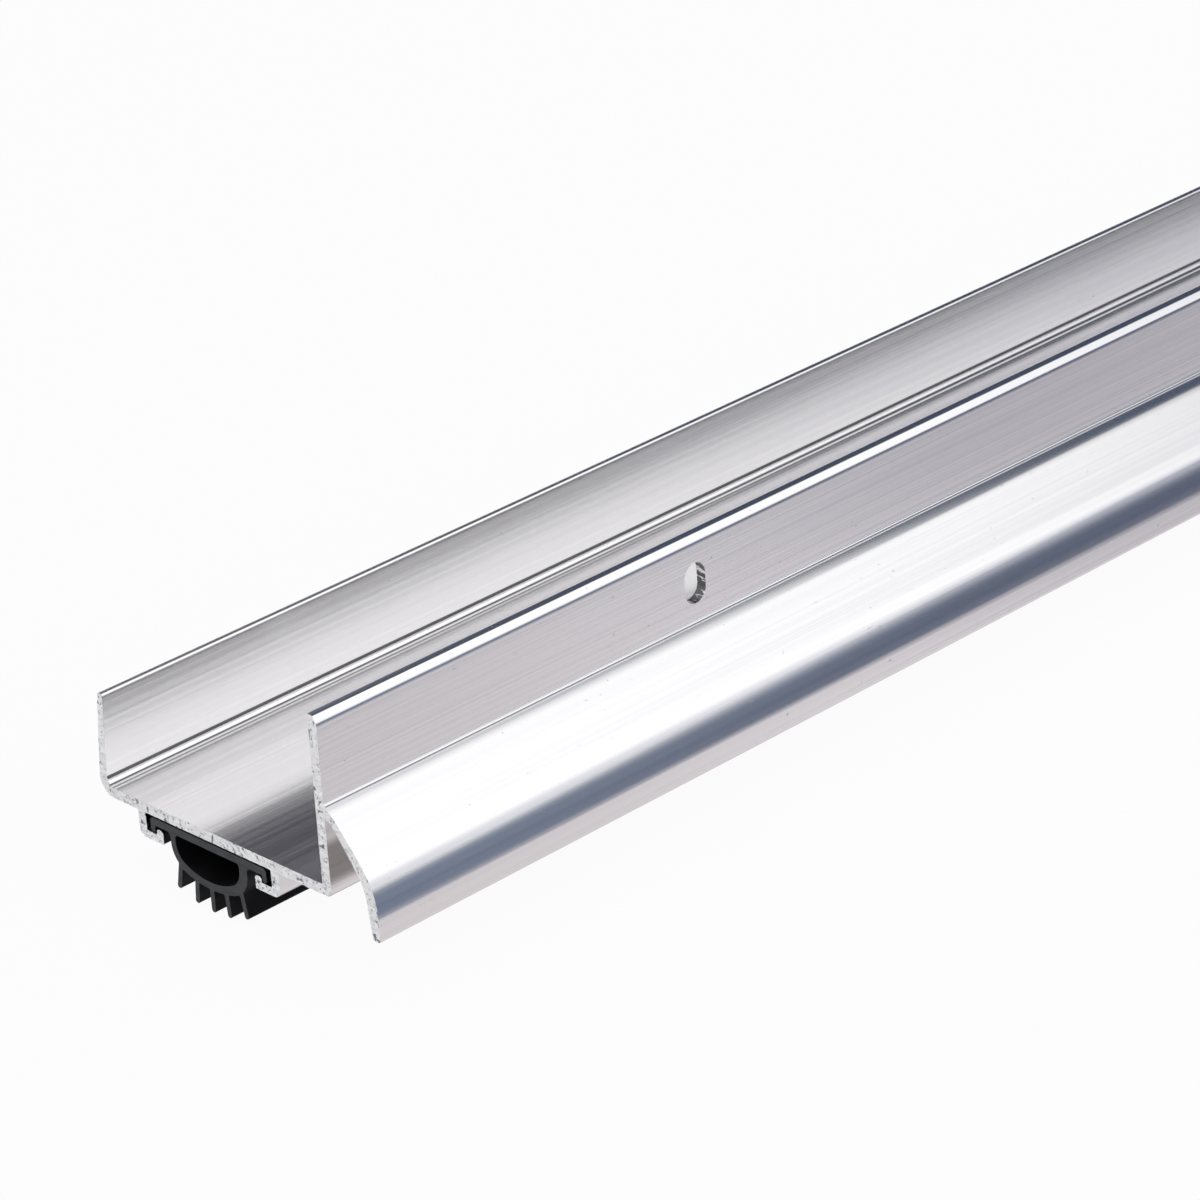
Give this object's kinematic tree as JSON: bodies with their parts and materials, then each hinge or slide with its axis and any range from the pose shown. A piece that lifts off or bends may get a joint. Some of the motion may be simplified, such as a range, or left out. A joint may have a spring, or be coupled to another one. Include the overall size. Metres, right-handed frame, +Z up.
{
  "type": "door bottom seal",
  "caption": "Aluminium channel that wraps a door's bottom edge, with a drip cap on its front leg, upright screw slots and a finned vinyl seal in a track underneath.",
  "frame": {"origin": "middle of the channel's floor, on the face the door stands on", "axes": "+X along the length, +Z up into the door, the drip cap faces -Y (outdoors)"},
  "size_m": [0.9144, 0.0579, 0.0389],
  "materials": {
    "aluminium": "bright mill finish with fine extrusion lines along the length, and rough sawn ends",
    "vinyl": "satin black extruded vinyl"
  },
  "bodies": {
    "channel": {"channel": "aluminium"},
    "seal": {"vinyl_seal": "vinyl"}
  },
  "joints": [
    {"name": "seal_slide", "type": "slide", "parent": "channel", "child": "seal", "axis": [1, 0, 0], "range_m": [-0.9144, 0.9144]}
  ]
}
